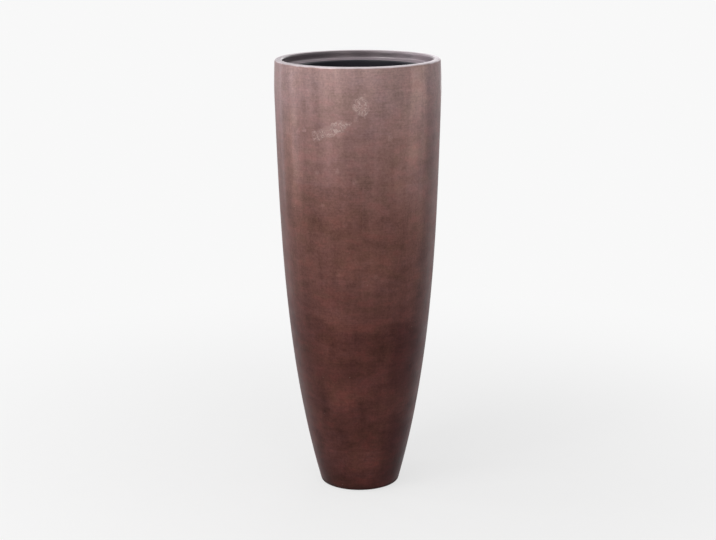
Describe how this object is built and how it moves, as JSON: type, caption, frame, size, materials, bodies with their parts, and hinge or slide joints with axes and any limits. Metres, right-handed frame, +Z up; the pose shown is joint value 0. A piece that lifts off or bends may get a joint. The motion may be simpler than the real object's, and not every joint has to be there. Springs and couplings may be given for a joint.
{
  "type": "tall floor planter",
  "caption": "Tall round planter that tapers to a narrow foot, with a rolled lip, a recessed ledge carrying a lift-out liner, and a weighted base with a drain bung.",
  "frame": {"origin": "on the floor, under the middle of the planter", "axes": "+Z up along the planter's axis; the picture looks along +Y, with +X to the right"},
  "size_m": [0.34, 0.34, 0.9],
  "materials": {
    "leaf_finish": "metallic bronze leaf, rosy beige at the top to dark red brown at the foot, under satin lacquer, on fibreglass",
    "collar_finish": "the same metallic leaf, plainer and greyer, on fibreglass",
    "raw_laminate": "dark gelcoat over glass mat, matt",
    "liner_plastic": "black formed plastic, fine leather grain",
    "plug_rubber": "soft black rubber",
    "pad_rubber": "dark grey rubber",
    "cast_ballast": "rough cast sand and resin"
  },
  "bodies": {
    "planter": {"shell": "leaf_finish", "rim_collar": "collar_finish", "base_plate": "raw_laminate", "ballast_ring": "cast_ballast", "foot_pad_1": "pad_rubber", "foot_pad_2": "pad_rubber", "foot_pad_3": "pad_rubber", "foot_pad_4": "pad_rubber"},
    "liner": {"liner": "liner_plastic"},
    "liner_plug": {"liner_plug": "plug_rubber"},
    "drain_bung": {"drain_bung": "plug_rubber"}
  },
  "joints": [
    {"name": "liner_lift", "type": "slide", "parent": "planter", "child": "liner", "axis": [0, 0, 1], "range_m": [0, 0.31]},
    {"name": "liner_plug_pull", "type": "slide", "parent": "liner", "child": "liner_plug", "axis": [0, 0, 1], "range_m": [0, 0.31]},
    {"name": "drain_bung_pull", "type": "slide", "parent": "planter", "child": "drain_bung", "axis": [0, 0, 1], "range_m": [-0.028, 0]}
  ]
}
